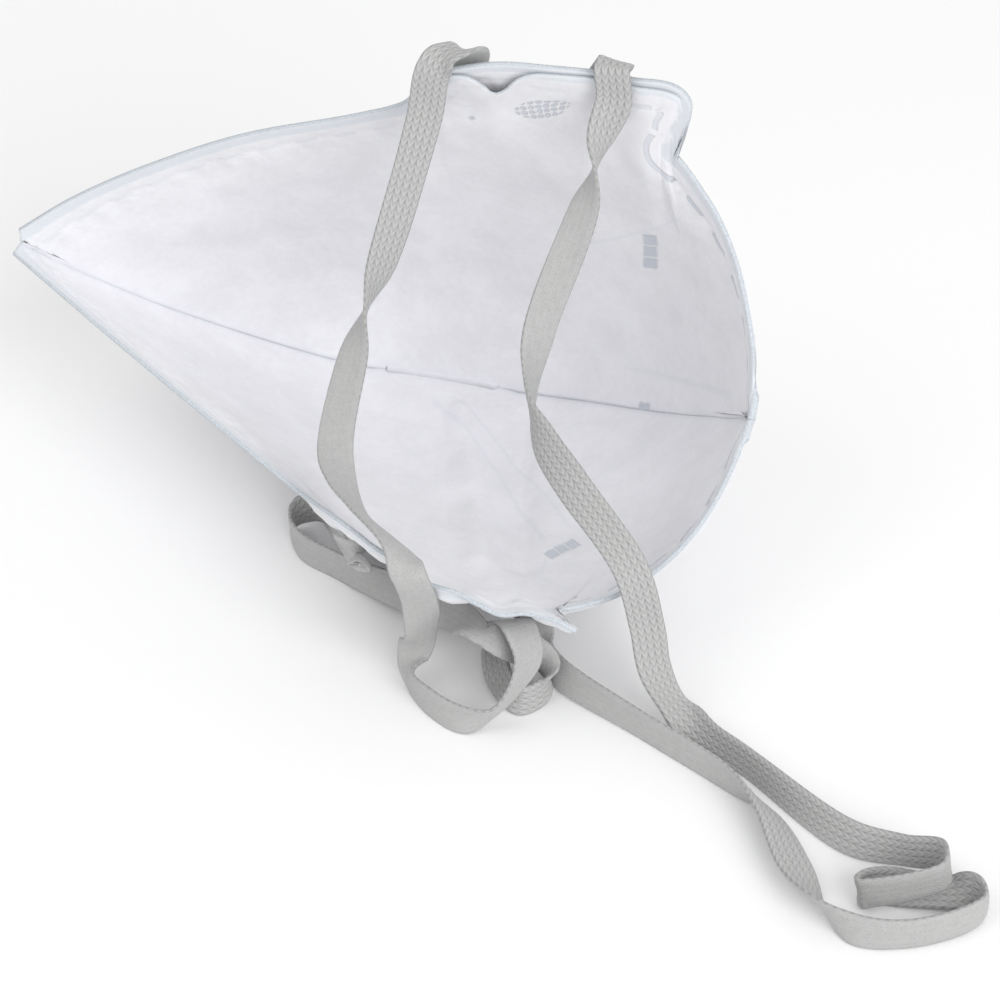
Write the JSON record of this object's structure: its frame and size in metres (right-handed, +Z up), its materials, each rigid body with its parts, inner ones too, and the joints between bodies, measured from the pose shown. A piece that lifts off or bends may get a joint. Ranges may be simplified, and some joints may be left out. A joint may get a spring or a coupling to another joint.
{
  "type": "folding respirator mask",
  "caption": "Vertical fold cloth respirator shell, opened and laid on one cheek, with two flat knitted head straps running loosely in front of it.",
  "frame": {"origin": "centre of the cloth shell's box, on the surface that the shell lies on", "axes": "+X from the nose end to the chin end, +Y away from the wearer's side towards the front seam, +Z up from the surface"},
  "size_m": [0.2162, 0.1283, 0.0983],
  "materials": {
    "nonwoven": "soft matt white nonwoven with a faint cool tint, welded flat along its edges",
    "elastic": "matt light grey knitted elastic with ribs along its length"
  },
  "bodies": {
    "root": {"left_panel": "nonwoven", "right_panel": "nonwoven", "upper_strap": "elastic", "lower_strap": "elastic"}
  },
  "joints": []
}
